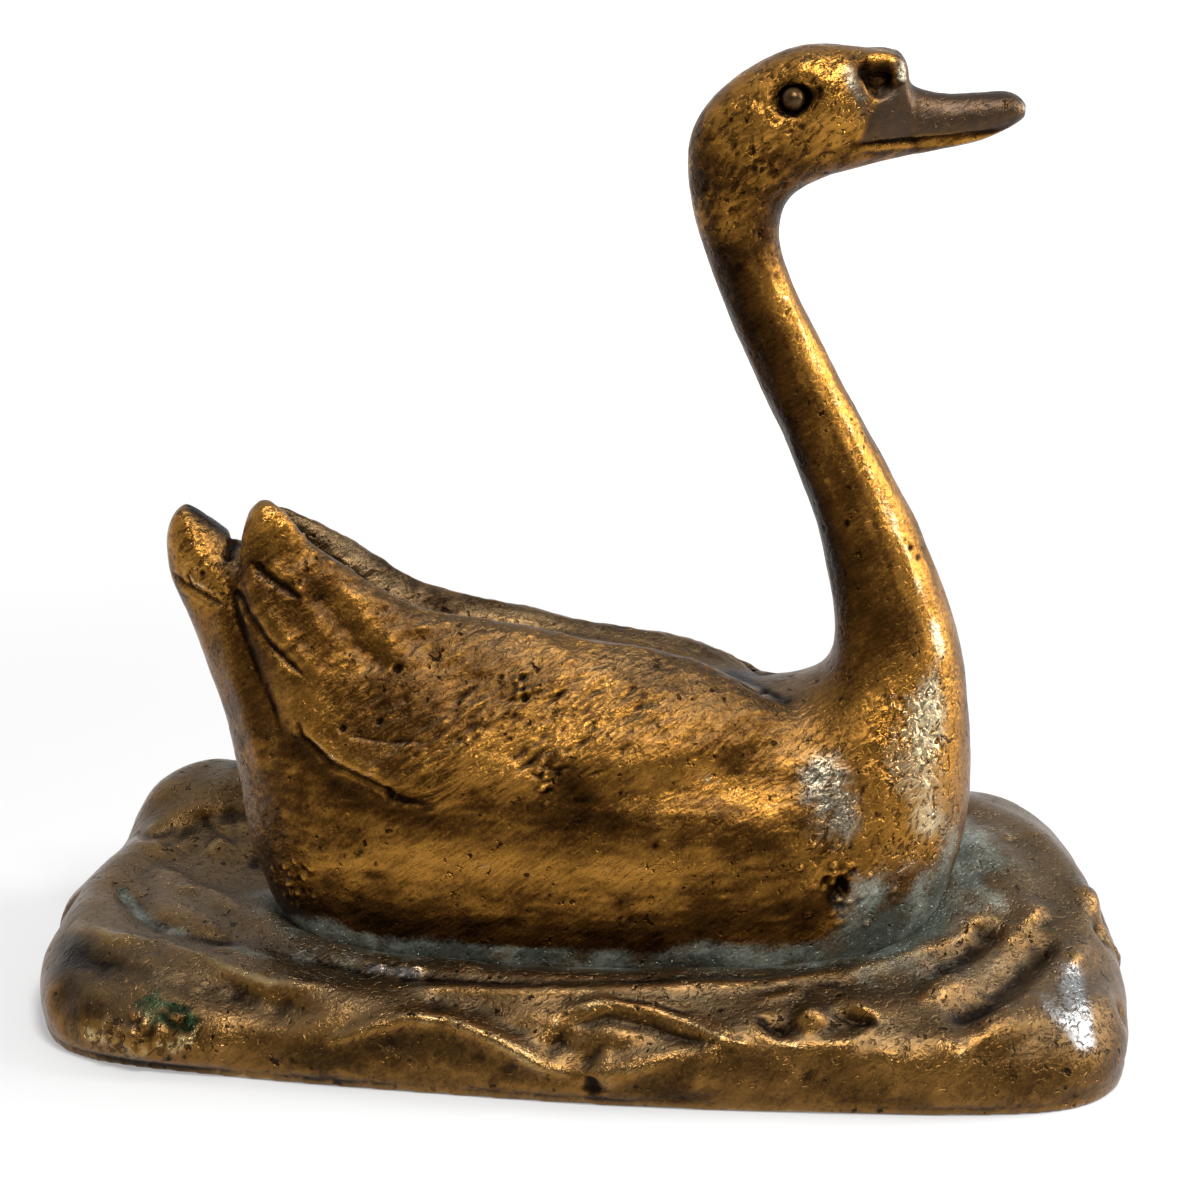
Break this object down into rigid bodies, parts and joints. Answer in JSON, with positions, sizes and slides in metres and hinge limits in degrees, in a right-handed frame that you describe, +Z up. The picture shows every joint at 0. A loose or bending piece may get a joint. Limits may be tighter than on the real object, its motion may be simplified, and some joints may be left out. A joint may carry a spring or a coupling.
{
  "type": "swan sculpture",
  "caption": "Cast bronze swan swimming on a rippled water base, made of separate castings joined by a sleeve, pins, rivets and studs",
  "frame": {"origin": "under the middle of the water base, on the surface that it stands on", "axes": "+X the way the swan faces, +Y to the swan's left side, +Z up"},
  "size_m": [0.2374, 0.118, 0.2095],
  "materials": {
    "base_bronze": "brown patina on cast bronze, worn golden on the crests",
    "swan_bronze": "rubbed golden cast bronze with brown patina in the hollows",
    "eye_bronze": "dark polished bead",
    "pin_bronze": "filed flush and patinated",
    "fixing_brass": "plain turned brass, dulled"
  },
  "bodies": {
    "root": {"water_base": "base_bronze", "swan_body": "swan_bronze", "breast_neck_and_head": "swan_bronze", "right_wing": "swan_bronze", "left_wing": "swan_bronze", "right_eye": "eye_bronze", "left_eye": "eye_bronze", "right_upper_seam_pin": "pin_bronze", "right_lower_seam_pin": "pin_bronze", "left_upper_seam_pin": "pin_bronze", "left_lower_seam_pin": "pin_bronze", "right_wing_rear_rivet": "pin_bronze", "right_wing_front_rivet": "pin_bronze", "left_wing_rear_rivet": "pin_bronze", "left_wing_front_rivet": "pin_bronze", "right_flank_plug": "pin_bronze", "left_flank_plug": "pin_bronze", "rump_plug": "pin_bronze", "left_base_plug": "pin_bronze", "right_base_plug": "pin_bronze", "rear_stud": "fixing_brass", "rear_stud_washer": "fixing_brass", "rear_stud_nut": "fixing_brass", "right_stud": "fixing_brass", "right_stud_washer": "fixing_brass", "right_stud_nut": "fixing_brass", "left_stud": "fixing_brass", "left_stud_washer": "fixing_brass", "left_stud_nut": "fixing_brass", "front_stud": "fixing_brass", "front_stud_washer": "fixing_brass", "front_stud_nut": "fixing_brass"}
  },
  "joints": []
}
